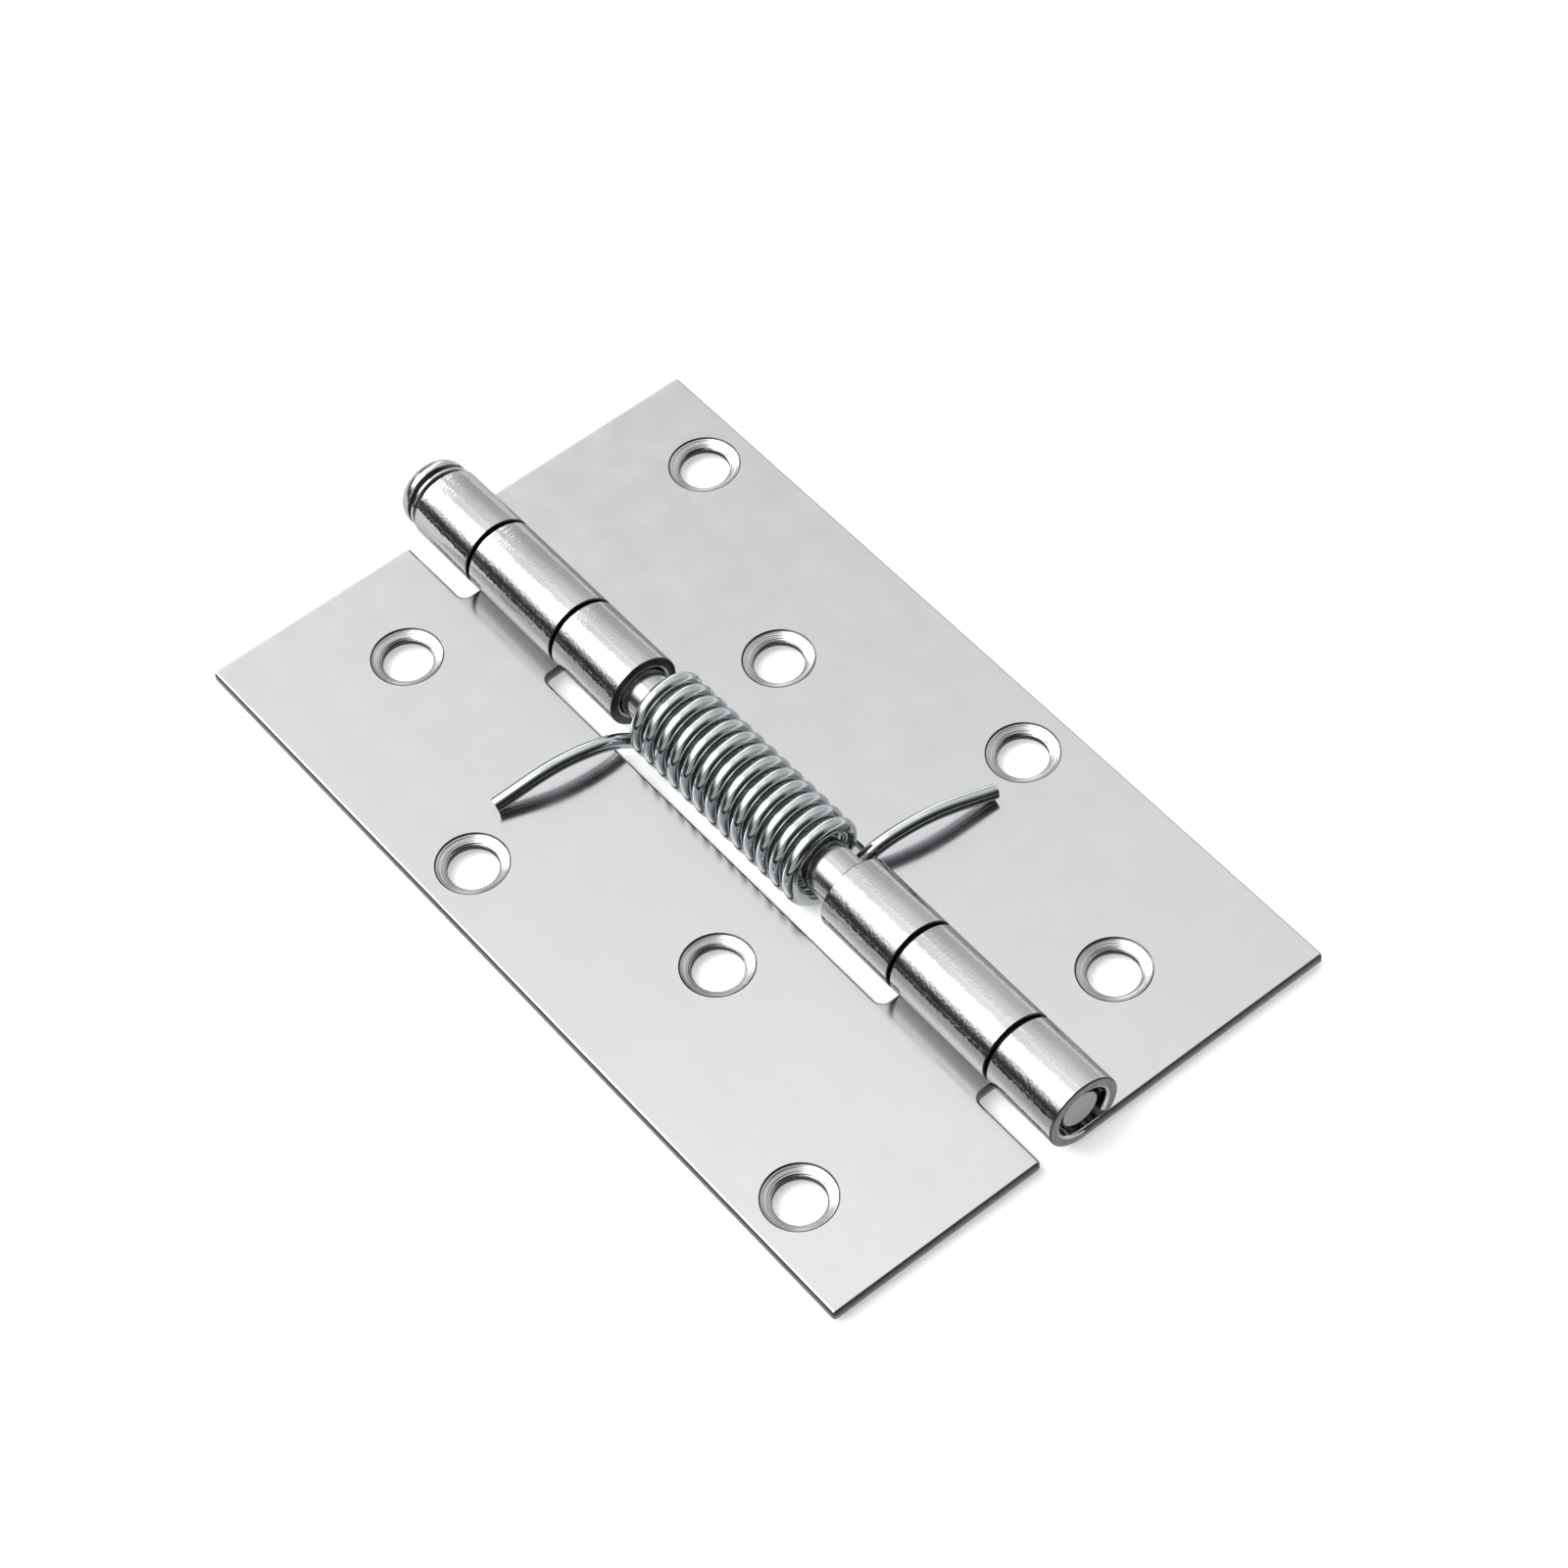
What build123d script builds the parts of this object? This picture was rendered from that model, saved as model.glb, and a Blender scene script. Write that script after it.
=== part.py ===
from build123d import *
from math import cos, radians, sin
import os

os.makedirs("parts", exist_ok=True)

# Millimetres. The pin's axis is the Y axis, the leaves lie flat either side of it, and Z points
# out of the countersunk faces. Y = 0 is halfway along the whole hinge with its pin head.

# Leaves
LEAF_LENGTH = 100.0
LEAF_WIDTH = 30.0        # from the pin's axis to the long outer edge
SHEET = 1.25
BARREL_R = 4.1           # outside of the rolled knuckles
NOTCH_CLEAR = 1.2        # from the other leaf's knuckles to the end of their notch
NOTCH_CORNER_R = 1.0
OUTER_CORNER_R = 0.35
KNUCKLE_GAP = 0.4
ROLL_END_DEG = -41.0     # where the rolled sheet stops, just short of its own leaf

# Knuckle stations, from the middle of the leaf outwards
END_KNUCKLE = 40.7
MID_KNUCKLE = 26.6
SPRING_GAP = 16.5

# Screw holes: an outer and an inner row, each with its own pair of holes
HOLE_R = 2.6
SINK_R = 3.75
SINK_DEPTH = 0.7
HOLE_PITCH = 25.5
EDGE_TO_ROW = 5.5        # from the long outer edge to the outer row
ROW_STEP = 10.5          # from the outer row to the inner one

# Pin
PIN_CLEAR = 0.1          # all round the pin in its knuckles
PIN_RECESS = 0.5         # how far the tail stops inside the last knuckle
TAIL_STEP = 0.7          # how much thinner the turned-down tail is than the shaft
TAIL_LENGTH = 2.0
TAIL_TAPER = 0.6         # from the tail up to the full shaft
HEAD_INSET = 0.2         # the head's radius is this much under the knuckles'
HEAD_HEIGHT = 3.5
HEAD_ROUND = 1.8
FLANGE = 0.9             # length of the flange under the head's groove
FLANGE_BEVEL = 0.6
GROOVE = 0.6
GROOVE_DEPTH = 0.6

# Torsion spring
WIRE_R = 0.8
COIL_CLEAR = 0.5         # between the coil and the pin
PITCH = 2.0
TURNS = 13
LEG_OFF_DEG = 33.0       # where each leg leaves the coil, measured from its underside
SPRING_SHIFT = 0.65      # the coil sits this far towards the pin's head
LEG_RISE_X = 5.4         # each leg rises through its notch here,
LEG_RISE = 1.5           # with its middle this far above the leaf,
LEG_BEND_X = 8.4         # bends over here
LEG_BEND = 2.25
LEG_TOP_X = 11.4         # and is highest here
LEG_TOP = 2.4
LEG_TIP_X = 18.9
LEG_TIP_OUT = 15.75      # the tip's distance along the pin from the coil's middle
LEG_CLEAR = 0.05         # left between a leg's tip and its leaf

BORE_R = BARREL_R - SHEET
LEAF_TOP = -BORE_R
NOTCH_X = BARREL_R + NOTCH_CLEAR
OUTER_ROW = LEAF_WIDTH - EDGE_TO_ROW
INNER_ROW = OUTER_ROW - ROW_STEP
PIN_R = BORE_R - PIN_CLEAR
HEAD_R = BARREL_R - HEAD_INSET
COIL_R = PIN_R + COIL_CLEAR + WIRE_R
MIDDLE = -HEAD_HEIGHT / 2
HALF = LEAF_LENGTH / 2


def rolled(y_low, y_high):
    """The sheet rolled round the pin, from the underside over the far side and back down."""
    def on(radius, degrees):
        return (radius * cos(radians(degrees)), radius * sin(radians(degrees)))

    halfway = (ROLL_END_DEG - 360 - 90) / 2
    outer = ThreePointArc(on(BARREL_R, -90), on(BARREL_R, halfway), on(BARREL_R, ROLL_END_DEG))
    inner = ThreePointArc(on(BORE_R, -90), on(BORE_R, halfway), on(BORE_R, ROLL_END_DEG))
    start = Line(on(BARREL_R, -90), on(BORE_R, -90))
    end = Line(on(BARREL_R, ROLL_END_DEG), on(BORE_R, ROLL_END_DEG))
    section = Plane.XZ * make_face([outer, end, inner, start])
    return extrude(Pos(0, y_high, 0) * section, y_high - y_low)


def leaf(knuckles, holes):
    """One leaf to the +X side: a flat blank with notches, countersunk holes and rolled tabs."""
    blank = Pos((NOTCH_X + LEAF_WIDTH) / 2, 0) * Rectangle(LEAF_WIDTH - NOTCH_X, LEAF_LENGTH)
    for low, high in knuckles:
        blank += Pos(NOTCH_X / 2, (low + high) / 2) * Rectangle(NOTCH_X, high - low)
    corners = [
        v for v in blank.vertices()
        if abs(v.X - NOTCH_X) < 0.01 and abs(v.Y) < HALF - 0.01
    ]
    blank = fillet(corners, NOTCH_CORNER_R)
    outer_corners = [v for v in blank.vertices() if abs(v.X - LEAF_WIDTH) < 0.01]
    blank = fillet(outer_corners, OUTER_CORNER_R)
    body = extrude(Pos(0, 0, -BARREL_R) * blank, SHEET)
    for low, high in knuckles:
        body += rolled(low, high)
    for x, y in holes:
        sink = Cone(HOLE_R, SINK_R, SINK_DEPTH, align=(Align.CENTER, Align.CENTER, Align.MAX))
        drill = Cylinder(HOLE_R, 4 * SHEET)
        body -= Pos(x, y, LEAF_TOP) * (drill + sink)
    return body


# Right leaf: four knuckles, the end pair and the pair beside the spring
gap = KNUCKLE_GAP / 2
right_knuckles = [
    (END_KNUCKLE + gap, HALF),
    (SPRING_GAP, MID_KNUCKLE - gap),
    (-MID_KNUCKLE + gap, -SPRING_GAP),
    (-HALF, -END_KNUCKLE - gap),
]
# Left leaf: two longer knuckles that fit between them
left_knuckles = [
    (MID_KNUCKLE + gap, END_KNUCKLE - gap),
    (-END_KNUCKLE + gap, -MID_KNUCKLE - gap),
]
rows = [OUTER_ROW, INNER_ROW, OUTER_ROW, INNER_ROW]
holes = [(x, HOLE_PITCH * (1.5 - i)) for i, x in enumerate(rows)]

right_leaf = Pos(0, MIDDLE, 0) * leaf(right_knuckles, holes)
left_leaf = Pos(0, MIDDLE, 0) * Rot(0, 0, 180) * leaf(left_knuckles, holes)

# Hinge pin: turned-down tail, plain shaft, and a head with a flange, a groove and a low dome
tail = -HALF + PIN_RECESS
tail_r = PIN_R - TAIL_STEP
shoulder = tail + TAIL_LENGTH
top = HALF + HEAD_HEIGHT
half_section = make_face(Polyline(
    (0, tail), (tail_r, tail), (tail_r, shoulder), (PIN_R, shoulder + TAIL_TAPER), (PIN_R, HALF),
    (HEAD_R - FLANGE_BEVEL, HALF), (HEAD_R, HALF + FLANGE_BEVEL), (HEAD_R, HALF + FLANGE),
    (HEAD_R - GROOVE_DEPTH, HALF + FLANGE + GROOVE / 2), (HEAD_R, HALF + FLANGE + GROOVE),
    (HEAD_R, top), (0, top), close=True,
))
pin = revolve(half_section, Axis.Y)
hinge_pin = Pos(0, MIDDLE, 0) * fillet(pin.faces().sort_by(Axis.Y)[-1].edges(), HEAD_ROUND)

# Torsion spring: a right-hand coil that leaves its underside in two bent legs. Each leg rises
# through the notch, arches over the leaf and comes down on its countersunk face.
turns = TURNS + 2 * LEG_OFF_DEG / 360
height = PITCH * turns
start_dir = (sin(radians(LEG_OFF_DEG)), 0, -cos(radians(LEG_OFF_DEG)))
coil = Plane(origin=(0, -height / 2, 0), x_dir=start_dir, z_dir=(0, 1, 0)) * Helix(
    PITCH, height, COIL_R
)
leg_off_x = COIL_R * start_dir[0]
tip_z = LEAF_TOP + WIRE_R + LEG_CLEAR


def along(x):
    """How far along the pin a leg has drifted where it is x out from the axis."""
    share = (x - leg_off_x) / (LEG_TIP_X - leg_off_x)
    return height / 2 + share * (LEG_TIP_OUT - height / 2)


path = [
    (LEG_RISE_X, LEAF_TOP + LEG_RISE),
    (LEG_BEND_X, LEAF_TOP + LEG_BEND),
    (LEG_TOP_X, LEAF_TOP + LEG_TOP),
    (LEG_TIP_X, tip_z),
]
start = coil % 1
far_leg = Spline(
    coil @ 1,
    *[(-x, along(x), z) for x, z in path],
    tangents=(start, (-cos(radians(13)), 0.15, -sin(radians(13)))),
)
near_leg = Rot(0, 0, 180) * far_leg
wire = Wire([*near_leg.edges(), *coil.edges(), *far_leg.edges()])
section = Plane(origin=far_leg @ 1, z_dir=far_leg % 1) * Circle(WIRE_R)
torsion_spring = Pos(0, MIDDLE + SPRING_SHIFT, 0) * sweep(section, path=wire)

for name, body in (
    ("right_leaf", right_leaf),
    ("left_leaf", left_leaf),
    ("hinge_pin", hinge_pin),
    ("torsion_spring", torsion_spring),
):
    body.label = name
    export_step(body, f"parts/{name}.step")
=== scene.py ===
# A spring loaded door hinge, open flat: two pressed steel leaves, the pin that joins them and the
# torsion spring that closes the door. All lengths are in metres, written as millimetres times MM.
from math import cos, pi, radians, sin, tan

import bmesh
import bpy
import numpy as np
from mathutils import Matrix, Quaternion, Vector


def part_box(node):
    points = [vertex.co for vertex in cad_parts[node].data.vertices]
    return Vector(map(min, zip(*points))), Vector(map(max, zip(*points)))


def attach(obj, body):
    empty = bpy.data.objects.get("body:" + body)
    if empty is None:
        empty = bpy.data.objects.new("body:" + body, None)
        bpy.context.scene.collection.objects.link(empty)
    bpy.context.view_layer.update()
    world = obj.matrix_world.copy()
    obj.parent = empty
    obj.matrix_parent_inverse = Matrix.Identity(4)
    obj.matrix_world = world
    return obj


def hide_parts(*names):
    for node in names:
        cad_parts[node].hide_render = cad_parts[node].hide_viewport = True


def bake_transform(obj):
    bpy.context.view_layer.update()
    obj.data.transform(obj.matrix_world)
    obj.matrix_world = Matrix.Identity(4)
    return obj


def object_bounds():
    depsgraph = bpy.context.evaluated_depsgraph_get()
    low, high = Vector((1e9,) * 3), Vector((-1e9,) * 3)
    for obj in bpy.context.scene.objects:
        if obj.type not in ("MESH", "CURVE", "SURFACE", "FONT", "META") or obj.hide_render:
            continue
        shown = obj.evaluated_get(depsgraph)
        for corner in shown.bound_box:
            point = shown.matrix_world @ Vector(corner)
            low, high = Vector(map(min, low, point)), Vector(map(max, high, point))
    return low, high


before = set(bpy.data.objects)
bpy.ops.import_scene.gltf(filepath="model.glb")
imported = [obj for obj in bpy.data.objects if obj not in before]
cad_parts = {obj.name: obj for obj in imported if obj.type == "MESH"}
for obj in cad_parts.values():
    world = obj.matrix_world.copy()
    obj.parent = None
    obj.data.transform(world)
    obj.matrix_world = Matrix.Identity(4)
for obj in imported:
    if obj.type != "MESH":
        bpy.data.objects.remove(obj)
cad_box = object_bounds()
MM = 0.001

# Leaves
# Each leaf is pressed out of one strip of bright steel sheet. Its tabs are rolled up round the
# pin into knuckles, and its four screw holes are punched and then countersunk with a turning tool.
back, top_of_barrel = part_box("right_leaf")
LEAF_EDGE = top_of_barrel.x
LEAF_MIDDLE = (back.y + top_of_barrel.y) / 2
HALF_LENGTH = (top_of_barrel.y - back.y) / 2
BARREL_R = top_of_barrel.z
SHEET = 1.25 * MM
NOTCH_X = BARREL_R + 1.2 * MM
NOTCH_CORNER_R = 1.0 * MM
OUTER_CORNER_R = 0.35 * MM
ROLL_END = radians(-401)
ROLL_STEPS = 120

KNUCKLE_GAP = 0.4 * MM
END_KNUCKLE = 40.7 * MM
MID_KNUCKLE = 26.6 * MM
SPRING_GAP = 16.5 * MM

HOLE_R = 2.6 * MM
SINK_R = 3.75 * MM
SINK_DEPTH = 0.7 * MM
HOLE_PITCH = 25.5 * MM
OUTER_ROW = LEAF_EDGE - 5.5 * MM
INNER_ROW = OUTER_ROW - 10.5 * MM
HOLE_SIDES = 128
SINK_RINGS = 26
SINK_DISH = 0.075 * MM     # the tool's worn flank leaves the middle of the sink shallower
DISH_START = 0.6           # share of the sink's slope where the dish's wave starts
TOOL_MARK = 0.01 * MM
TOOL_RINGS = 4.2           # how many of its rings the tool leaves up one sink
SHADED_RIM = 0.16 * MM       # width of the dark ring painted round the top of the sink as painted shade
LIP_DROP = 0.04 * MM       # the last ring stops this far under the face,
LIP_FLARE = 0.05 * MM      # and the rim opens this much wider than the sink
BORE_BREAK = 0.05 * MM     # between the punched bore and the sink

ROLLED_OVER = 0.32 * MM    # the upper edges, drawn down by the press tool
UNDER_EDGE = 0.15 * MM     # the lower edges, rounded in the tumbling barrel
BURR_BREAK = 0.07 * MM     # the lower edge of each hole,
BURR_MIDDLE = 0.3 * BURR_BREAK    # which is this far in halfway round its curve
EDGE_STEPS = 5
SHADED_STEPS = 3        # above the torn part: the wall and the start of its edge, painted dark as a painted shade line
SHEARED = 0.55             # share of a cut wall that tore; the rest above it is painted shade
BACK_Z = -BARREL_R
FACE_Z = SHEET - BARREL_R
WELD = 1e-7                # points nearer to each other than this are one
IN_LINE = 1e-4             # two sides are in line when their cross product is under this
LEVEL = 0.99999            # a face is level when its normal's Z is over this
# Slot 4 holds painted shade: dark metal put where shade falls or dark is mirrored
FACE_SLOT, ROLL_SLOT, CUT_SLOT, SINK_SLOT, PAINTED_SHADE_SLOT = 0, 1, 2, 3, 4


def edge_profile():
    """(inset, height) pairs up a cut edge of the sheet, from its back to its face."""
    turns = [i * pi / 2 / EDGE_STEPS for i in range(EDGE_STEPS + 1)]
    lower = [(UNDER_EDGE * (1 - sin(a)), BACK_Z + UNDER_EDGE * (1 - cos(a))) for a in turns]
    upper = [(ROLLED_OVER * (1 - cos(a)), FACE_Z - ROLLED_OVER * (1 - sin(a))) for a in turns]
    torn_top = lower[-1][1] + (upper[0][1] - lower[-1][1]) * SHEARED
    return lower + [(0, torn_top)] + upper


def round_corners(corners, steps=8):
    """Outline points from (x, y, radius) corners, with an arc at each corner that has a radius."""
    points = []
    for i, (x, y, radius) in enumerate(corners):
        corner = Vector((x, y))
        if not radius:
            points.append(corner)
            continue
        before = (Vector(corners[i - 1][:2]) - corner).normalized()
        after = (Vector(corners[(i + 1) % len(corners)][:2]) - corner).normalized()
        half = before.angle(after) / 2
        centre = corner + (before + after).normalized() * (radius / sin(half))
        first = corner + before * (radius / tan(half)) - centre
        last = corner + after * (radius / tan(half)) - centre
        for k in range(steps + 1):
            t = k / steps
            points.append(centre + (first * (1 - t) + last * t).normalized() * radius)
    return points


def inset(outline, amount):
    """The outline moved inwards by amount, apart from the folds, which stay on the pin's line."""
    moved = []
    for i, point in enumerate(outline):
        sides = []
        for a, b in ((outline[i - 1], point), (point, outline[(i + 1) % len(outline)])):
            along = (b - a).normalized()
            sides.append(((-along.y, along.x), 0 if is_fold(a, b) else amount))
        (n1, d1), (n2, d2) = sides
        cross = n1[0] * n2[1] - n1[1] * n2[0]
        if abs(cross) < IN_LINE:
            moved.append(point + Vector(n1) * d1)
        else:
            shift = Vector((d1 * n2[1] - d2 * n1[1], d2 * n1[0] - d1 * n2[0]))
            moved.append(point + shift / cross)
    return moved


def is_fold(a, b):
    """True on the line where a tab leaves the flat of the leaf and starts to roll."""
    return abs(a.x) < WELD and abs(b.x) < WELD


def wall_slot(step):
    """The material of one step up a cut wall: torn, then a painted shade line, and face at both
    its edges.
    """
    if step == EDGE_STEPS:
        return CUT_SLOT
    return PAINTED_SHADE_SLOT if EDGE_STEPS < step <= EDGE_STEPS + SHADED_STEPS else FACE_SLOT


def add_flat(bm, outline, holes):
    """The flat of a leaf: its cut walls, its countersunk holes and its two faces."""
    loops = [[bm.verts.new((*p, z)) for p in inset(outline, d)] for d, z in edge_profile()]
    count = len(outline)
    for step, (lower, upper) in enumerate(zip(loops, loops[1:])):
        for i in range(count):
            j = (i + 1) % count
            if not is_fold(outline[i], outline[j]):
                face = bm.faces.new((lower[i], lower[j], upper[j], upper[i]))
                face.material_index = wall_slot(step)
    rims = [add_sink(bm, x, y) for x, y in holes]
    for loop, side in ((loops[0], 0), (loops[-1], 1)):
        edges = []
        for ring in [loop] + [rim[side] for rim in rims]:
            for a, b in zip(ring, ring[1:] + ring[:1]):
                edges.append(bm.edges.get((a, b)) or bm.edges.new((a, b)))
        bmesh.ops.triangle_fill(bm, edges=edges, use_beauty=True, use_dissolve=False)


def add_sink(bm, x, y):
    """One punched hole with its turned countersink. Gives back its lower and upper rims."""
    bore_top = FACE_Z - SINK_DEPTH
    slope = (SINK_R - HOLE_R) / SINK_DEPTH
    profile = [
        (HOLE_R + BURR_BREAK, BACK_Z),
        (HOLE_R + BURR_MIDDLE, BACK_Z + BURR_MIDDLE),
        (HOLE_R, BACK_Z + BURR_BREAK),
        (HOLE_R, bore_top - BORE_BREAK),
    ]
    for k in range(SINK_RINGS):
        t = k / (SINK_RINGS - 1)
        height = t * (SINK_DEPTH - LIP_DROP)
        dish = SINK_DISH * sin(2 * pi * (t - DISH_START))
        mark = dish + TOOL_MARK * sin(2 * pi * (TOOL_RINGS * t + x / MM))
        profile.append((HOLE_R + height * slope + mark, bore_top + height))
    profile.append((SINK_R + LIP_FLARE, FACE_Z))
    turns = [2 * pi * i / HOLE_SIDES for i in range(HOLE_SIDES)]
    rings = []
    for r, z in profile:
        rings.append([bm.verts.new((x + r * cos(a), y + r * sin(a), z)) for a in turns])
    turned_map = bm.loops.layers.uv["turned"]
    for (lower, upper), (low, high) in zip(zip(rings, rings[1:]), zip(profile, profile[1:])):
        # The bore, its lower edge and the sink's top ring are painted shade
        turned = bore_top < high[1] and low[0] < SINK_R - SHADED_RIM
        for i in range(HOLE_SIDES):
            j = (i + 1) % HOLE_SIDES
            face = bm.faces.new((lower[i], lower[j], upper[j], upper[i]))
            face.material_index = SINK_SLOT if turned else PAINTED_SHADE_SLOT
            places = ((low, i), (low, i + 1), (high, i + 1), (high, i))
            for loop, ((r, z), turn) in zip(face.loops, places):
                loop[turned_map].uv = (turn / HOLE_SIDES, (r + z) / MM)
    return rings[0], rings[-1]


def add_knuckle(bm, y_low, y_high):
    """A tab rolled round the pin: the sheet's section carried down, round and back up."""
    profile = edge_profile()
    section = [(y_low + d, z) for d, z in profile]
    section += [(y_high - d, z) for d, z in reversed(profile)]
    rings = []
    for step in range(ROLL_STEPS + 1):
        angle = -pi / 2 + (ROLL_END + pi / 2) * step / ROLL_STEPS
        rings.append([bm.verts.new((-z * cos(angle), y, -z * sin(angle))) for y, z in section])
    count = len(section)
    slots = [ROLL_SLOT] * count
    # Painted shade: the rounded outer edge at each end of a knuckle, and the whole end wall where
    # it faces a gap; the outermost ends keep the cut finish on their walls
    for i in range(EDGE_STEPS + 2):
        for step, end in ((i, y_low), (count - 2 - i, y_high)):
            outermost = abs(end) > HALF_LENGTH - WELD
            slots[step] = CUT_SLOT if outermost and i >= EDGE_STEPS else PAINTED_SHADE_SLOT
    for first, second in zip(rings, rings[1:]):
        for i in range(count):
            j = (i + 1) % count
            face = bm.faces.new((first[i], first[j], second[j], second[i]))
            face.material_index = slots[i]
    bm.faces.new(rings[-1]).material_index = CUT_SLOT


def leaf_mesh(name, knuckles, half_turn):
    """One whole leaf, drawn to the +X side and turned half round for the left one."""
    corners = [(LEAF_EDGE, -HALF_LENGTH, OUTER_CORNER_R), (LEAF_EDGE, HALF_LENGTH, OUTER_CORNER_R)]
    if knuckles[0][1] < HALF_LENGTH:
        corners.append((NOTCH_X, HALF_LENGTH, OUTER_CORNER_R))
    for y_low, y_high in knuckles:
        if y_high < HALF_LENGTH:
            corners.append((NOTCH_X, y_high, NOTCH_CORNER_R))
        corners += [(0, y_high, 0), (0, y_low, 0)]
        if y_low > -HALF_LENGTH:
            corners.append((NOTCH_X, y_low, NOTCH_CORNER_R))
    if knuckles[-1][0] > -HALF_LENGTH:
        corners.append((NOTCH_X, -HALF_LENGTH, OUTER_CORNER_R))
    rows = (OUTER_ROW, INNER_ROW, OUTER_ROW, INNER_ROW)
    holes = [(x, HOLE_PITCH * (1.5 - i)) for i, x in enumerate(rows)]

    bm = bmesh.new()
    bm.loops.layers.uv.new("turned")
    add_flat(bm, round_corners(corners), holes)
    for y_low, y_high in knuckles:
        add_knuckle(bm, y_low, y_high)
    bmesh.ops.remove_doubles(bm, verts=bm.verts, dist=WELD)
    bmesh.ops.recalc_face_normals(bm, faces=bm.faces)
    turn = Matrix.Rotation(pi if half_turn else 0, 4, "Z")
    bmesh.ops.transform(bm, matrix=Matrix.Translation((0, LEAF_MIDDLE, 0)) @ turn, verts=bm.verts)
    mesh = bpy.data.meshes.new(name)
    bm.to_mesh(mesh)
    bm.free()
    return mesh


def smooth_but_flat(mesh):
    """Smooth shading, with each level face kept truly flat up to its rounded edge."""
    mesh.shade_smooth()
    normals = [vertex.normal.copy() for vertex in mesh.vertices]
    for face in mesh.polygons:
        if abs(face.normal.z) > LEVEL:
            for corner in face.vertices:
                normals[corner] = face.normal.copy()
    mesh.normals_split_custom_set_from_vertices(normals)


def piece(name, mesh, materials):
    """The object of a finished piece, with its materials in the order of its faces' slots."""
    made = bpy.data.objects.new(name, mesh)
    bpy.context.scene.collection.objects.link(made)
    for material in materials:
        mesh.materials.append(material)
    return made


def metal(name, colour, roughness, glance=1.0):
    """A metal, and four functions that add to it. Glance is how bright it is seen edge-on."""
    material = bpy.data.materials.new(name)
    material.use_nodes = True
    tree = material.node_tree
    shader = tree.nodes["Principled BSDF"]
    shader.inputs["Base Color"].default_value = (*colour, 1)
    shader.inputs["Metallic"].default_value = 1
    shader.inputs["Roughness"].default_value = roughness
    shader.inputs["Specular Tint"].default_value = (glance, glance, glance, 1)
    place = tree.nodes.new("ShaderNodeTexCoord")

    def noise(stretch, scale, detail=2.0, source="Object"):
        """A noise, stretched along each axis where its number is under 1."""
        mapping = tree.nodes.new("ShaderNodeMapping")
        mapping.inputs["Scale"].default_value = stretch
        texture = tree.nodes.new("ShaderNodeTexNoise")
        texture.inputs["Scale"].default_value = scale
        texture.inputs["Detail"].default_value = detail
        tree.links.new(place.outputs[source], mapping.inputs["Vector"])
        tree.links.new(mapping.outputs["Vector"], texture.inputs["Vector"])
        return texture.outputs["Fac"]

    def spread(value, low, high, socket):
        """Drives a socket between two numbers as value goes from 0.3 to 0.7."""
        map_range = tree.nodes.new("ShaderNodeMapRange")
        map_range.inputs["From Min"].default_value = 0.3
        map_range.inputs["From Max"].default_value = 0.7
        map_range.inputs["To Min"].default_value = low
        map_range.inputs["To Max"].default_value = high
        tree.links.new(value, map_range.inputs["Value"])
        tree.links.new(map_range.outputs["Result"], shader.inputs[socket])

    def tint(value, first, second):
        """Mixes the metal's colour from two by value."""
        mix = tree.nodes.new("ShaderNodeMix")
        mix.data_type = "RGBA"
        mix.inputs["A"].default_value = (*first, 1)
        mix.inputs["B"].default_value = (*second, 1)
        tree.links.new(value, mix.inputs["Factor"])
        tree.links.new(mix.outputs["Result"], shader.inputs["Base Color"])

    def relief(value, height, base=None):
        """Bumps of a height by value, laid over a base of larger bumps where there is one."""
        bump = tree.nodes.new("ShaderNodeBump")
        bump.inputs["Distance"].default_value = height
        tree.links.new(value, bump.inputs["Height"])
        if base:
            tree.links.new(base, bump.inputs["Normal"])
        tree.links.new(bump.outputs["Normal"], shader.inputs["Normal"])
        return bump.outputs["Normal"]

    return material, noise, spread, tint, relief


# The flats: bright rolled sheet with a soft sheen, a cloudy tint, slow waves and a fine grain
sheet_face, noise, spread, tint, relief = metal("sheet_face", (0.57, 0.57, 0.58), 0.18)
tint(noise((1, 1, 1), 90), (0.555, 0.555, 0.575), (0.585, 0.585, 0.59))
spread(noise((1, 1, 1), 300), 0.15, 0.21, "Roughness")
waves = relief(noise((1, 0.4, 1), 150), 0.015 * MM)
relief(noise((1, 0.35, 1), 6000, 3), 0.0005 * MM, waves)

# The knuckles: the same sheet, polished by the die that rolled it, with a crisp speckle
sheet_roll, noise, spread, tint, relief = metal("sheet_roll", (0.55, 0.55, 0.56), 0.13, 0.6)
tint(noise((1, 0.3, 1), 200), (0.535, 0.535, 0.545), (0.565, 0.565, 0.57))
spread(noise((1, 1, 1), 700), 0.09, 0.14, "Roughness")
relief(noise((1, 1, 1), 3200, 0), 0.016 * MM)

# Sheared edges: dull and torn by fine marks across the sheet, and made darker partly as painted
# shade on the cut walls
sheared_edge_and_shade, noise, spread, tint, relief = metal("sheared_edge_and_shade", (0.18, 0.18, 0.185), 0.38)
tint(noise((1, 1, 0.2), 1800), (0.1, 0.1, 0.105), (0.27, 0.27, 0.275))
relief(noise((1, 1, 0.12), 4000, 3), 0.006 * MM)

# Painted shade: near-black metal on the knuckles' ends, the bores, the top of each cut wall and
# the sinks' top rings, where shade falls or dark is mirrored
painted_shade, noise, spread, tint, relief = metal("painted_shade", (0.06, 0.06, 0.065), 0.3)
tint(noise((1, 1, 1), 1500), (0.04, 0.04, 0.045), (0.09, 0.09, 0.095))
relief(noise((1, 0.12, 1), 4000, 3), 0.006 * MM)

# Countersinks: fine rings left by the tool, along the hole's own radius
turned_sink, noise, spread, tint, relief = metal("turned_sink", (0.5, 0.5, 0.505), 0.2)
tint(noise((4, 5, 1), 1, 1, "UV"), (0.3, 0.3, 0.305), (0.7, 0.7, 0.705))
relief(noise((1.5, 6, 1), 1, 1, "UV"), 0.06 * MM)

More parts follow.
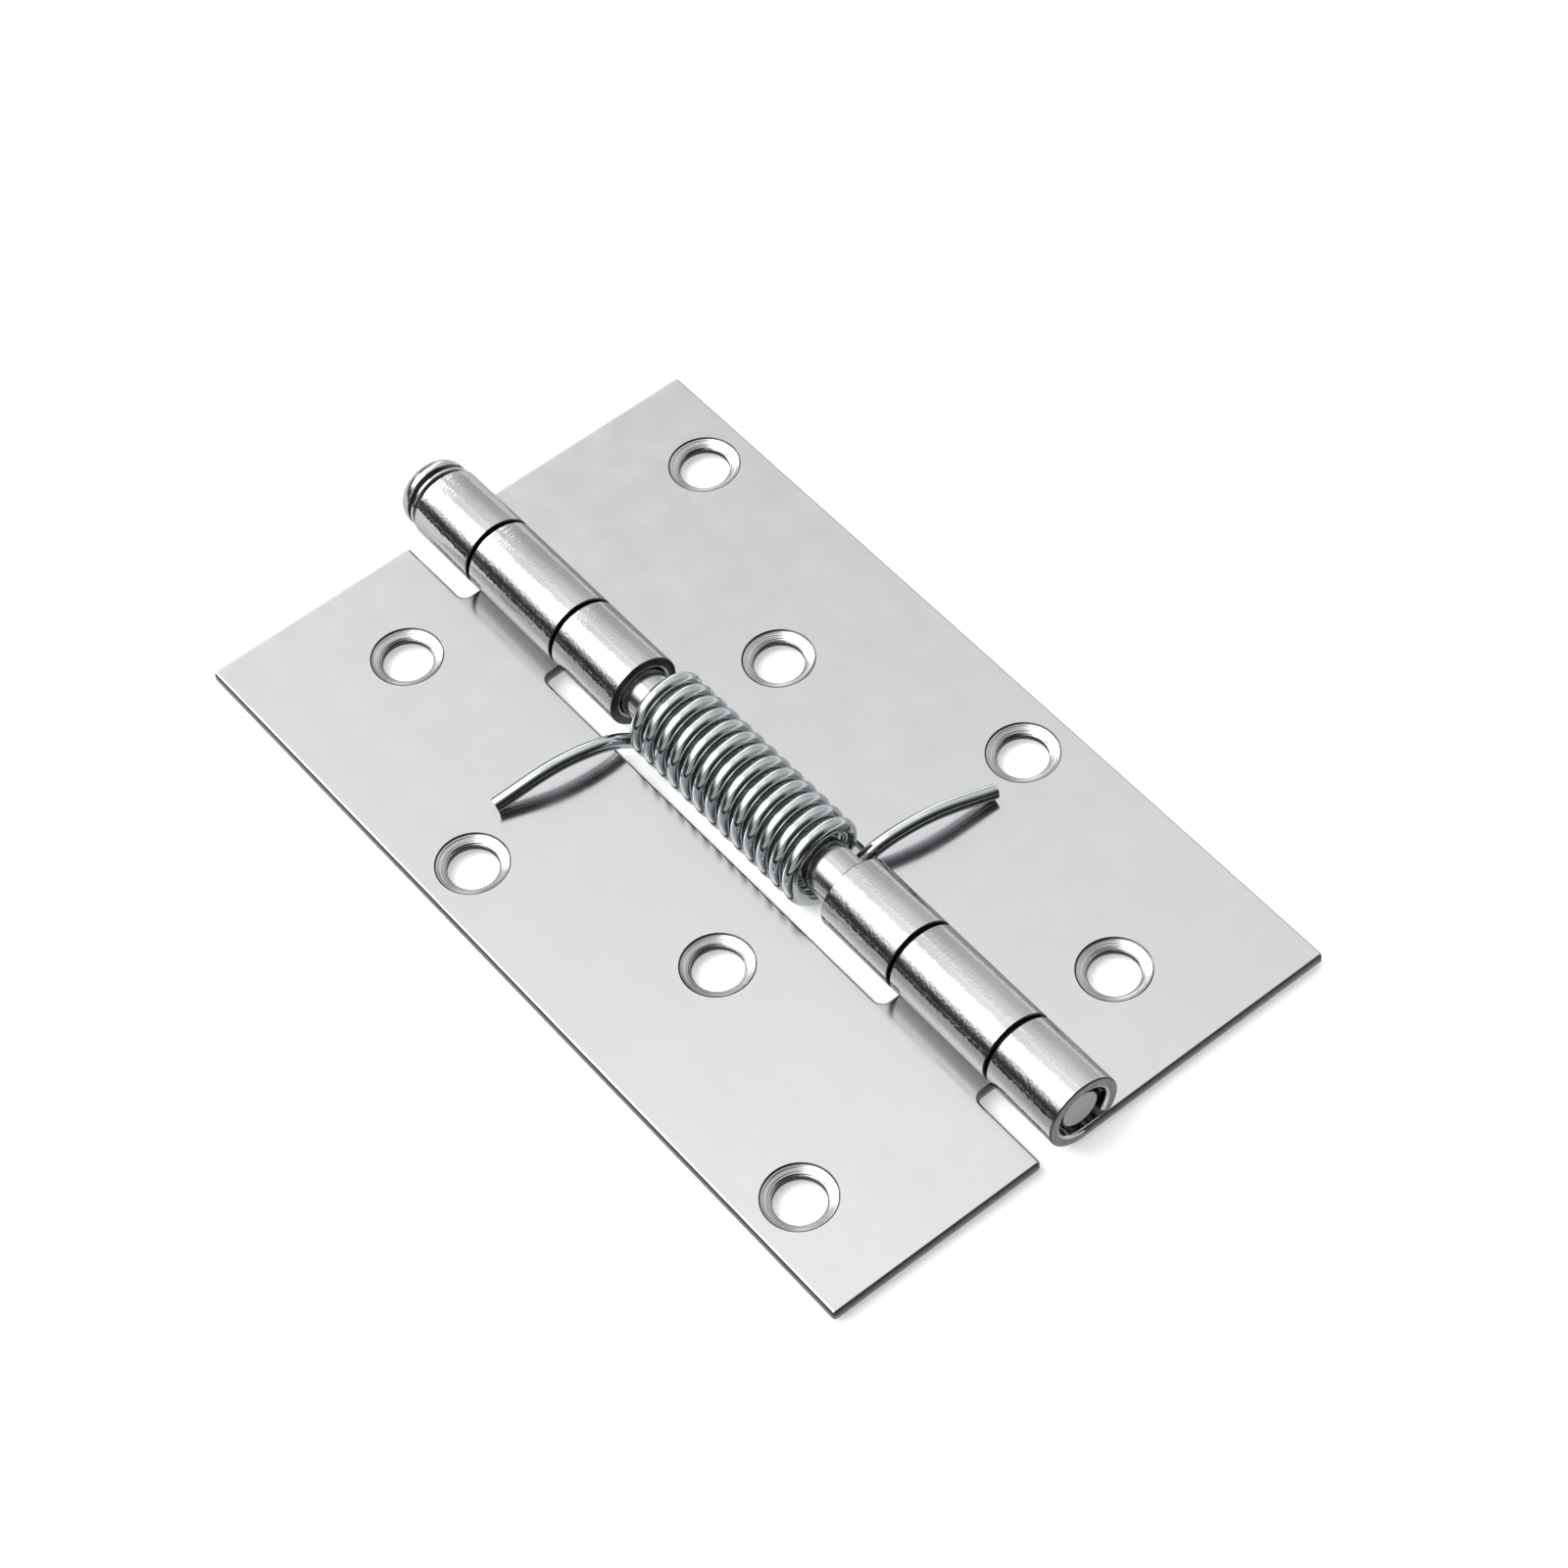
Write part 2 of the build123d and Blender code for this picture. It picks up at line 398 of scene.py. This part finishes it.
half_gap = KNUCKLE_GAP / 2
right_knuckles = [
    (END_KNUCKLE + half_gap, HALF_LENGTH),
    (SPRING_GAP, MID_KNUCKLE - half_gap),
    (-MID_KNUCKLE + half_gap, -SPRING_GAP),
    (-HALF_LENGTH, -END_KNUCKLE - half_gap),
]
left_knuckles = [
    (MID_KNUCKLE + half_gap, END_KNUCKLE - half_gap),
    (-END_KNUCKLE + half_gap, -MID_KNUCKLE - half_gap),
]
for side, knuckles, half_turn in (("right", right_knuckles, False), ("left", left_knuckles, True)):
    mesh = leaf_mesh(f"{side}_leaf_sheet", knuckles, half_turn)
    smooth_but_flat(mesh)
    finishes = [sheet_face, sheet_roll, sheared_edge_and_shade, turned_sink, painted_shade]
    leaf = piece(f"{side}_leaf_sheet", mesh, finishes)
    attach(leaf, f"{side}_side")
    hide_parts(f"{side}_leaf")

# Hinge pin
# A turned steel pin with a low domed head, a groove and a flange under it, and a tapered tail that
# stops just inside the last knuckle.
pin_low, pin_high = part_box("hinge_pin")
HEAD_R = pin_high.z
HEAD_ROUND = 1.8 * MM
HEAD_HEIGHT = 3.5 * MM
PIN_CLEAR = 0.1 * MM       # all round the pin in its knuckles
PIN_R = BARREL_R - SHEET - PIN_CLEAR
TAIL_STEP = 0.7 * MM
TAIL_LENGTH = 2.0 * MM
TAIL_TAPER = 0.6 * MM
FLANGE = 0.9 * MM
FLANGE_BEVEL = 0.6 * MM
GROOVE = 0.6 * MM
GROOVE_DEPTH = 0.6 * MM
GROOVE_START = 0.02 * MM   # from the flange's end to where the groove begins
TAIL_BREAK = 0.06 * MM     # off the tail's radius at its end
EDGE_BREAK = 0.05 * MM     # along the pin at the tail, the flange and the groove
FLANGE_BREAK = 0.08 * MM   # the worn edges of the flange
LIP_BREAK = 0.1 * MM       # the edge between the groove and the dome
DOME_STEPS = 16
PIN_SIDES = 128
SHARP = radians(35)        # edges that bend more than this aren't smoothed
# The fourth slot is painted shade, in the groove and on the flange's bevel
SHAFT_SLOT, HEAD_SLOT, TAIL_SLOT, GROOVE_SHADE_SLOT = 0, 1, 2, 3


def turned_mesh(name, profile):
    """A shape turned about the Y axis from (radius, y, slot) points, closed at both ends."""
    bm = bmesh.new()
    turns = [2 * pi * i / PIN_SIDES for i in range(PIN_SIDES)]
    rings = [[bm.verts.new((r * cos(a), y, r * sin(a))) for a in turns] for r, y, slot in profile]
    for (lower, upper), (r, y, slot) in zip(zip(rings, rings[1:]), profile):
        for i in range(PIN_SIDES):
            j = (i + 1) % PIN_SIDES
            bm.faces.new((lower[i], lower[j], upper[j], upper[i])).material_index = slot
    for ring, slot in ((rings[0], profile[0][2]), (rings[-1], profile[-1][2])):
        bm.faces.new(ring).material_index = slot
    bmesh.ops.recalc_face_normals(bm, faces=bm.faces)
    mesh = bpy.data.meshes.new(name)
    bm.to_mesh(mesh)
    bm.free()
    return mesh


shoulder = pin_high.y - HEAD_HEIGHT
groove_y = shoulder + FLANGE + GROOVE / 2
tail_r = PIN_R - TAIL_STEP
tail_y = pin_low.y
profile = [
    (tail_r - TAIL_BREAK, tail_y, TAIL_SLOT),
    (tail_r, tail_y + EDGE_BREAK, SHAFT_SLOT),
    (tail_r, tail_y + TAIL_LENGTH, SHAFT_SLOT),
    (PIN_R, tail_y + TAIL_LENGTH + TAIL_TAPER, SHAFT_SLOT),
    (PIN_R, shoulder, HEAD_SLOT),
    (HEAD_R - FLANGE_BEVEL, shoulder, GROOVE_SHADE_SLOT),
    (HEAD_R - FLANGE_BREAK, shoulder + FLANGE_BEVEL - FLANGE_BREAK, HEAD_SLOT),
    (HEAD_R, shoulder + FLANGE_BEVEL + EDGE_BREAK, HEAD_SLOT),
    (HEAD_R, shoulder + FLANGE - FLANGE_BREAK, HEAD_SLOT),
    (HEAD_R - FLANGE_BREAK, shoulder + FLANGE + GROOVE_START, GROOVE_SHADE_SLOT),
    (HEAD_R - GROOVE_DEPTH, groove_y - EDGE_BREAK, GROOVE_SHADE_SLOT),
    (HEAD_R - GROOVE_DEPTH, groove_y + EDGE_BREAK, GROOVE_SHADE_SLOT),
    (HEAD_R - LIP_BREAK, groove_y + GROOVE / 2 - EDGE_BREAK, HEAD_SLOT),
    (HEAD_R, groove_y + GROOVE / 2 + LIP_BREAK, HEAD_SLOT),
]
for k in range(DOME_STEPS + 1):
    a = k * pi / 2 / DOME_STEPS
    profile.append((
        HEAD_R - HEAD_ROUND * (1 - cos(a)),
        pin_high.y - HEAD_ROUND * (1 - sin(a)),
        HEAD_SLOT,
    ))

# The shaft, turned with fine marks round it
pin_shaft, noise, spread, tint, relief = metal("pin_shaft", (0.54, 0.54, 0.55), 0.16)
spread(noise((1, 1, 1), 800), 0.12, 0.2, "Roughness")
relief(noise((0.05, 1, 0.05), 9000, 2), 0.001 * MM)

# The head, polished over slow bumps
pin_head, noise, spread, tint, relief = metal("pin_head", (0.54, 0.54, 0.55), 0.1, 0.6)
spread(noise((1, 1, 1), 900), 0.08, 0.14, "Roughness")
relief(noise((1, 1, 1), 700, 0), 0.03 * MM)

# The tail's end, cut off dull
pin_tail, noise, spread, tint, relief = metal("pin_tail", (0.38, 0.38, 0.38), 0.5)
tint(noise((1, 1, 1), 2500), (0.34, 0.34, 0.345), (0.42, 0.42, 0.42))
relief(noise((1, 1, 1), 5000, 3), 0.004 * MM)

# The groove and the flange's bevel: painted shade, dark metal where shade falls in the groove and
# in the crease by the knuckle
pin_groove_shade, noise, spread, tint, relief = metal("pin_groove_shade", (0.1, 0.1, 0.105), 0.3)
tint(noise((1, 1, 1), 1500), (0.06, 0.06, 0.065), (0.16, 0.16, 0.165))
relief(noise((1, 1, 1), 4000, 3), 0.004 * MM)

pin_mesh = turned_mesh("pin", profile)
pin_mesh.shade_smooth()
pin_mesh.set_sharp_from_angle(angle=SHARP)
pin = piece("pin", pin_mesh, [pin_shaft, pin_head, pin_tail, pin_groove_shade])
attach(pin, "right_side")
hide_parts("hinge_pin")

# Torsion spring
# One length of plated spring wire, wound right-handed round the pin in thirteen turns. Each end
# leaves the coil's underside, rises through a notch, arches over its leaf and rests on its face.
spring_low, spring_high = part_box("torsion_spring")
WIRE_R = 0.8 * MM
COIL_R = spring_high.z - WIRE_R
PITCH = 2.0 * MM
TURNS = 13
LEG_OFF = radians(33)
SPRING_MIDDLE = (spring_low.y + spring_high.y) / 2
LEG_TIP = Vector((18.9, 15.75, -2.0)) * MM
LEG_BENDS = [(5.4, -1.35), (8.4, -0.6), (11.4, -0.45)]    # X out and Z, in millimetres
LEG_DOWN = radians(13)     # how steeply the tip comes down on its leaf
LEG_DRIFT = 0.15           # and how far it still drifts along the pin for each length outwards
END_TAPER = 0.15           # share of the wire's radius that its cut ends lose,
END_ROUND = 0.2 * MM       # over this length
WIRE_SIDES = 32
COIL_POINTS = 60           # to a turn
LEG_POINTS = 12            # between two bends


def clamped_spline(points, first_slope, last_slope, per_span):
    """Points on the smooth cubic curve through the given ones, with its two end directions."""
    points = np.array(points, float)
    spans = np.linalg.norm(np.diff(points, axis=0), axis=1)
    count = len(points)
    system = np.zeros((count, count))
    wanted = np.zeros((count, 3))
    system[0, 0] = system[-1, -1] = 1
    wanted[0] = first_slope
    wanted[-1] = last_slope
    for i in range(1, count - 1):
        a, b = spans[i - 1], spans[i]
        system[i, i - 1:i + 2] = (b, 2 * (a + b), a)
        wanted[i] = 3 * (b * (points[i] - points[i - 1]) / a + a * (points[i + 1] - points[i]) / b)
    slopes = np.linalg.solve(system, wanted)
    curve = []
    for i, span in enumerate(spans):
        for k in range(per_span):
            t = k / per_span
            curve.append(
                (1 + 2 * t) * (1 - t) ** 2 * points[i] + t * (1 - t) ** 2 * span * slopes[i]
                + t * t * (3 - 2 * t) * points[i + 1] + t * t * (t - 1) * span * slopes[i + 1]
            )
    return curve + [points[-1]]


def wire_path():
    """The middle of the wire from the near leg's tip, round the coil, to the far leg's tip."""
    turns = TURNS + 2 * LEG_OFF / (2 * pi)
    height = PITCH * turns
    start = LEG_OFF - pi / 2
    coil = []
    for k in range(round(COIL_POINTS * turns) + 1):
        share = k / round(COIL_POINTS * turns)
        angle = start - 2 * pi * turns * share
        coil.append((COIL_R * cos(angle), height * (share - 0.5), COIL_R * sin(angle)))
    coil = np.array(coil)
    leave = coil[-1]
    slope = (coil[-1] - coil[-2]) / np.linalg.norm(coil[-1] - coil[-2])
    points = [leave]
    for x, z in LEG_BENDS:
        share = (x * MM + leave[0]) / (LEG_TIP.x + leave[0])
        points.append((-x * MM, leave[1] + share * (LEG_TIP.y - leave[1]), z * MM))
    points.append((-LEG_TIP.x, LEG_TIP.y, LEG_TIP.z))
    tip_slope = (-cos(LEG_DOWN), LEG_DRIFT, -sin(LEG_DOWN))
    far = np.array(clamped_spline(points, slope, tip_slope, LEG_POINTS))[1:]
    near = far[::-1] * (-1, -1, 1)
    return np.concatenate([near, coil, far]) + (0, SPRING_MIDDLE, 0)


def wire_tree(material):
    """Geometry nodes that sweep a round wire along a path and close its two cut ends."""
    tree = bpy.data.node_groups.new("spring wire", "GeometryNodeTree")
    tree.interface.new_socket("Path", in_out="INPUT", socket_type="NodeSocketGeometry")
    tree.interface.new_socket("Wire radius", in_out="INPUT", socket_type="NodeSocketFloat")
    tree.interface.new_socket("Wire sides", in_out="INPUT", socket_type="NodeSocketInt")
    tree.interface.new_socket("Wire", in_out="OUTPUT", socket_type="NodeSocketGeometry")
    add = tree.nodes.new
    given, out = add("NodeGroupInput"), add("NodeGroupOutput")
    to_curve, radius = add("GeometryNodeMeshToCurve"), add("GeometryNodeSetCurveRadius")
    rounding = add("GeometryNodeInputNamedAttribute")
    rounding.data_type = "FLOAT"
    rounding.inputs["Name"].default_value = "end_rounding"
    ring, sweep = add("GeometryNodeCurvePrimitiveCircle"), add("GeometryNodeCurveToMesh")
    sweep.inputs["Fill Caps"].default_value = True
    smooth, realize = add("GeometryNodeSetShadeSmooth"), add("GeometryNodeRealizeInstances")
    finish = add("GeometryNodeSetMaterial")
    finish.inputs["Material"].default_value = material
    for first, second in (
        (given.outputs["Path"], to_curve.inputs["Mesh"]),
        (to_curve.outputs["Curve"], radius.inputs["Curve"]),
        (rounding.outputs["Attribute"], radius.inputs["Radius"]),
        (given.outputs["Wire sides"], ring.inputs["Resolution"]),
        (given.outputs["Wire radius"], ring.inputs["Radius"]),
        (radius.outputs["Curve"], sweep.inputs["Curve"]),
        (ring.outputs["Curve"], sweep.inputs["Profile Curve"]),
        (sweep.outputs["Mesh"], smooth.inputs["Geometry"]),
        (smooth.outputs["Geometry"], realize.inputs["Geometry"]),
        (realize.outputs["Geometry"], finish.inputs["Geometry"]),
        (finish.outputs["Geometry"], out.inputs["Wire"]),
    ):
        tree.links.new(first, second)
    return tree


def swept_wire(name, path, material):
    """The wire as a plain mesh, swept along the path by the tree above."""
    mesh = bpy.data.meshes.new(name + "_path")
    mesh.from_pydata([tuple(p) for p in path], [(i, i + 1) for i in range(len(path) - 1)], [])
    travelled = np.concatenate([[0], np.cumsum(np.linalg.norm(np.diff(path, axis=0), axis=1))])
    to_end = np.minimum(travelled, travelled[-1] - travelled) / END_ROUND
    radii = 1 - END_TAPER + END_TAPER * np.sqrt(np.clip(to_end, 0, 1))
    mesh.attributes.new("end_rounding", "FLOAT", "POINT").data.foreach_set("value", radii)
    holder = bpy.data.objects.new(name + "_path", mesh)
    bpy.context.scene.collection.objects.link(holder)
    modifier = holder.modifiers.new("wire", "NODES")
    tree = wire_tree(material)
    sockets = {item.name: item.identifier for item in tree.interface.items_tree}
    modifier.node_group = tree
    modifier[sockets["Wire radius"]] = WIRE_R
    modifier[sockets["Wire sides"]] = WIRE_SIDES
    evaluated = holder.evaluated_get(bpy.context.evaluated_depsgraph_get())
    result = bpy.data.meshes.new_from_object(evaluated)
    bpy.data.objects.remove(holder)
    result.name = name
    return result


# Plated wire: bright and a little blue-green, with a faint grain
spring_wire, noise, spread, tint, relief = metal("spring_wire", (0.5, 0.53, 0.53), 0.12)
tint(noise((1, 1, 1), 700), (0.46, 0.49, 0.495), (0.54, 0.57, 0.575))
spread(noise((1, 1, 1), 2500), 0.08, 0.15, "Roughness")
relief(noise((1, 1, 1), 3500, 2), 0.0025 * MM)

path = wire_path()
wire = swept_wire("spring", path, spring_wire)
spring = piece("spring", wire, [])
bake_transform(spring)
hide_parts("torsion_spring")

# Studio
# The hinge lies on a white table under one long softbox over the left leaf, with a bright band on
# the far wall and a dark room with two pale side walls behind the camera. The metal mirrors a grey
# table and a dark sheet instead of the white table. The camera stands as the photograph's did.


def paper(name, colour, glow=0.0):
    """A matt material for what the hinge lies on."""
    material = bpy.data.materials.new(name)
    material.use_nodes = True
    shader = material.node_tree.nodes["Principled BSDF"]
    shader.inputs["Base Color"].default_value = (colour, colour, colour, 1)
    shader.inputs["Roughness"].default_value = 1.0
    shader.inputs["Specular IOR Level"].default_value = 0.0
    shader.inputs["Emission Color"].default_value = (1, 1, 1, 1)
    shader.inputs["Emission Strength"].default_value = glow
    return material


def tabletop(name, x_low, x_high, y_low, y_high, z, material, in_picture):
    """A level sheet of paper, seen either by the camera or by the metal that mirrors it."""
    corners = [(x_low, y_low, z), (x_high, y_low, z), (x_high, y_high, z), (x_low, y_high, z)]
    mesh = bpy.data.meshes.new(name)
    mesh.from_pydata(corners, [], [(0, 1, 2, 3)])
    mesh.materials.append(material)
    made = bpy.data.objects.new(name, mesh)
    bpy.context.scene.collection.objects.link(made)
    made.visible_shadow = False
    made.visible_camera = in_picture
    made.visible_glossy = not in_picture
    made.visible_diffuse = not in_picture


floor_z = cad_box[0].z
UNDER = 0.05 * MM                          # between one sheet of paper and the next
TABLE = (-6.0, 6.0, -6.0, 6.0)             # X from and to, Y from and to
DARK_SHEET = (-0.55, -0.036, -0.2, 1.2)    # beside the left leaf and on past the far end
tabletop("table", *TABLE, floor_z, paper("white_paper", 0.9, 0.28), True)
tabletop("table_in_metal", *TABLE, floor_z - 2 * UNDER, paper("grey_paper", 0.35, 0.5), False)
tabletop("dark_sheet", *DARK_SHEET, floor_z - UNDER, paper("dark_paper", 0.02), False)

world = bpy.data.worlds.new("studio")
bpy.context.scene.world = world
world.use_nodes = True
nodes, links = world.node_tree.nodes, world.node_tree.links
direction = nodes.new("ShaderNodeTexCoord")
split = nodes.new("ShaderNodeSeparateXYZ")
links.new(direction.outputs["Generated"], split.inputs["Vector"])


def lights(value, low, high, stops):
    """Brightness along value by a ramp with (place, level) stops between low and high."""
    place = nodes.new("ShaderNodeMapRange")
    place.inputs["From Min"].default_value = low
    place.inputs["From Max"].default_value = high
    ramp = nodes.new("ShaderNodeValToRGB")
    elements = ramp.color_ramp.elements
    while len(elements) < len(stops):
        elements.new(0.5)
    for element, (where, level) in zip(elements, stops):
        element.position = (where - low) / (high - low)
        element.color = (level, level, level, 1)
    links.new(value, place.inputs["Value"])
    links.new(place.outputs["Result"], ramp.inputs["Fac"])
    return ramp.outputs["Color"]


def times(first, second):
    """The product of two values, either of which may be a number."""
    product = nodes.new("ShaderNodeMath")
    product.operation = "MULTIPLY"
    for socket, value in zip(product.inputs, (first, second)):
        if isinstance(value, float):
            socket.default_value = value
        else:
            links.new(value, socket)
    return product.outputs["Value"]


# Degrees over the pin, from the horizon on the right leaf's side to that on the left leaf's. The
# softbox is the brightest, so every level is written as a share of it.
SOFTBOX = 5.0
round_pin = nodes.new("ShaderNodeMath")
round_pin.operation = "ARCTAN2"
links.new(split.outputs["Z"], round_pin.inputs[0])
links.new(split.outputs["X"], round_pin.inputs[1])
over_pin = lights(times(round_pin.outputs["Value"], 180 / pi), 0, 180, [
    (0, 0.69 / SOFTBOX), (28, 0.72 / SOFTBOX), (52, 1.03 / SOFTBOX), (64, 1.07 / SOFTBOX),
    (66.5, 1.13 / SOFTBOX), (70, 1.38 / SOFTBOX), (74, 1.4 / SOFTBOX), (82, 1.3 / SOFTBOX),
    (92, 1.3 / SOFTBOX), (97, 1.6 / SOFTBOX), (103, 1.0), (127, 1.0), (143, 0.33), (157, 0.055),
    (165, 0.01),
])
# Along the pin, from over the hinge to the far horizon, with a bright band on the far wall
FAR_WALL = 3.0
along_pin = lights(split.outputs["Y"], 0, 1, [
    (0, 1.07 / FAR_WALL), (0.43, 1.07 / FAR_WALL), (0.58, 0.88 / FAR_WALL),
    (0.66, 0.88 / FAR_WALL), (0.75, 0.85), (0.79, 1.0), (0.83, 1.0), (0.88, 0.2), (1, 0.05),
])
over_pin = times(over_pin, times(along_pin, FAR_WALL))
# Metal that mirrors other metal sees a room of less contrast
SOFTENED = 0.75
SECOND_MIRROR = 1.5        # between one mirroring and two
seen = nodes.new("ShaderNodeLightPath")
mirrored_twice = nodes.new("ShaderNodeMath")
mirrored_twice.operation = "GREATER_THAN"
mirrored_twice.inputs[1].default_value = SECOND_MIRROR
links.new(seen.outputs["Glossy Depth"], mirrored_twice.inputs[0])
softer = nodes.new("ShaderNodeMix")
softer.inputs["B"].default_value = 1.0 / SOFTBOX
links.new(times(mirrored_twice.outputs["Value"], SOFTENED), softer.inputs["Factor"])
links.new(over_pin, softer.inputs["A"])
# The near half of the room, behind the camera: dark low down, and pale overhead and at each side
behind = nodes.new("ShaderNodeMath")
behind.operation = "MAXIMUM"
for socket, light in zip(behind.inputs, (
    lights(split.outputs["Y"], -1, 0, [
        (-1, 0.03 / SOFTBOX), (-0.8, 0.035 / SOFTBOX), (-0.63, 0.05 / SOFTBOX),
        (-0.4, 0.42 / SOFTBOX), (-0.18, 0.75 / SOFTBOX), (0, 0.75 / SOFTBOX),
    ]),
    lights(split.outputs["X"], -1, 1, [
        (-0.65, 0.55 / SOFTBOX), (-0.5, 0.0), (0.5, 0.0), (0.65, 0.45 / SOFTBOX),
    ]),
)):
    links.new(light, socket)
# The two halves of the room run into each other just behind overhead
ahead = nodes.new("ShaderNodeMapRange")
ahead.interpolation_type = "SMOOTHSTEP"
ahead.inputs["From Min"].default_value = -0.16
ahead.inputs["From Max"].default_value = -0.04
whole_room = nodes.new("ShaderNodeMix")
links.new(split.outputs["Y"], ahead.inputs["Value"])
links.new(ahead.outputs["Result"], whole_room.inputs["Factor"])
links.new(behind.outputs["Value"], whole_room.inputs["A"])
links.new(softer.outputs["Result"], whole_room.inputs["B"])
# The camera itself sees plain white paper round the table, and only the metal sees the room
room = nodes["Background"]
room.inputs["Strength"].default_value = SOFTBOX
links.new(whole_room.outputs["Result"], room.inputs["Color"])
backdrop = nodes.new("ShaderNodeBackground")
backdrop.inputs["Color"].default_value = (0.9, 0.9, 0.9, 1)
either = nodes.new("ShaderNodeMixShader")
links.new(seen.outputs["Is Camera Ray"], either.inputs["Fac"])
links.new(room.outputs["Background"], either.inputs[1])
links.new(backdrop.outputs["Background"], either.inputs[2])
links.new(either.outputs["Shader"], nodes["World Output"].inputs["Surface"])

camera_data = bpy.data.cameras.new("camera")
camera_data.sensor_width = 36
camera_data.lens = 102.9   # this, the place and the roll are fitted to the photograph
camera_data.clip_start, camera_data.clip_end = 0.01, 50
camera = bpy.data.objects.new("camera", camera_data)
bpy.context.scene.collection.objects.link(camera)
camera.location = Vector((-144.709, -225.854, 347.259)) * MM
look_at = Vector((3.196, -3.606, 0)) * MM
camera.rotation_mode = "QUATERNION"
ROLL = radians(-6.5)
level = (look_at - camera.location).to_track_quat("-Z", "Y")
camera.rotation_quaternion = level @ Quaternion((0, 0, 1), ROLL)
bpy.context.scene.camera = camera
bpy.context.scene.view_settings.view_transform = "Standard"
